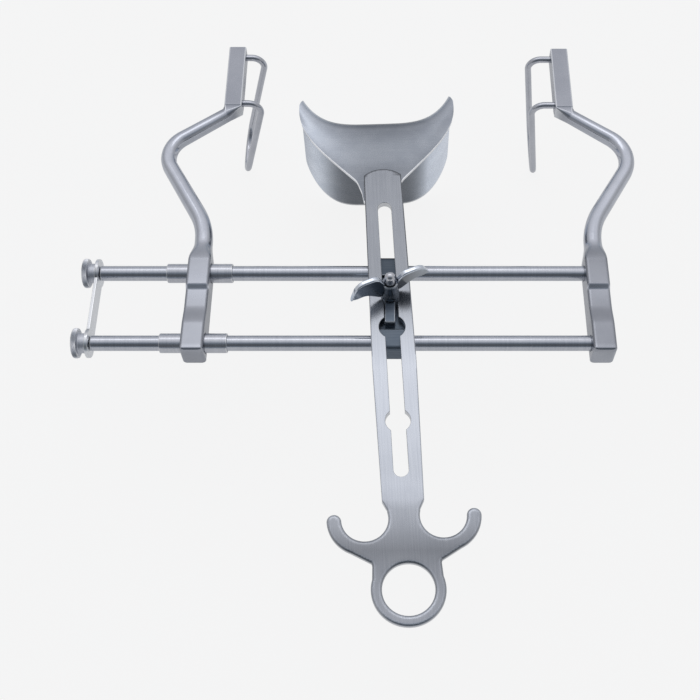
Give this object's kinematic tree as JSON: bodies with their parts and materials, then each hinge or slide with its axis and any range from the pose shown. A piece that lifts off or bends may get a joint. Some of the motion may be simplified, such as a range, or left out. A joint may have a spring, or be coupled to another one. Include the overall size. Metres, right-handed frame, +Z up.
{
  "type": "abdominal retractor",
  "caption": "Self-retaining abdominal retractor: wire side loops on curved arms along a rail frame, with a clamped saddle-shaped centre blade on a slotted handle.",
  "frame": {"origin": "centre of the bounding box in X and Y, at the lowest level of the centre blade", "axes": "+X along the rails towards the fixed arm, +Y from the finger ring towards the side loops, +Z up, away from the patient"},
  "size_m": [0.3002, 0.3496, 0.102],
  "materials": {
    "satin_steel": "satin",
    "polished_steel": "polished",
    "dark_polished_steel": "polished"
  },
  "bodies": {
    "frame": {"front_rail": "polished_steel", "rear_rail": "polished_steel", "fixed_arm": "satin_steel", "fixed_side_loop": "polished_steel", "end_strap": "satin_steel"},
    "sliding_side": {"sliding_arm": "satin_steel", "front_bushing": "polished_steel", "rear_bushing": "polished_steel", "sliding_side_loop": "polished_steel"},
    "clamp": {"carriage": "satin_steel", "clamp_stud": "polished_steel"},
    "blade": {"blade_handle": "satin_steel", "centre_blade": "satin_steel"},
    "wing_nut": {"wing_nut": "dark_polished_steel"},
    "front_thumb_nut": {"front_thumb_nut": "satin_steel"},
    "rear_thumb_nut": {"rear_thumb_nut": "satin_steel"}
  },
  "joints": [
    {"name": "arm_slide", "type": "slide", "parent": "frame", "child": "sliding_side", "axis": [1, 0, 0], "range_m": [-0.035, 0.018]},
    {"name": "clamp_slide", "type": "slide", "parent": "frame", "child": "clamp", "axis": [1, 0, 0], "range_m": [-0.018, 0.04]},
    {"name": "blade_slide", "type": "slide", "parent": "clamp", "child": "blade", "axis": [-0.0541, 0.9985, 0], "range_m": [-0.032, 0.078]},
    {"name": "wing_nut_turn", "type": "hinge", "parent": "clamp", "child": "wing_nut", "pos_m": [0.01214, -0.00243, 0.0836], "axis": [0, 0, 1], "continuous": true},
    {"name": "front_thumb_nut_turn", "type": "hinge", "parent": "frame", "child": "front_thumb_nut", "pos_m": [-0.1468, -0.02573, 0.073], "axis": [1, 0, 0], "continuous": true},
    {"name": "rear_thumb_nut_turn", "type": "hinge", "parent": "frame", "child": "rear_thumb_nut", "pos_m": [-0.1468, 0.01687, 0.073], "axis": [1, 0, 0], "continuous": true}
  ]
}
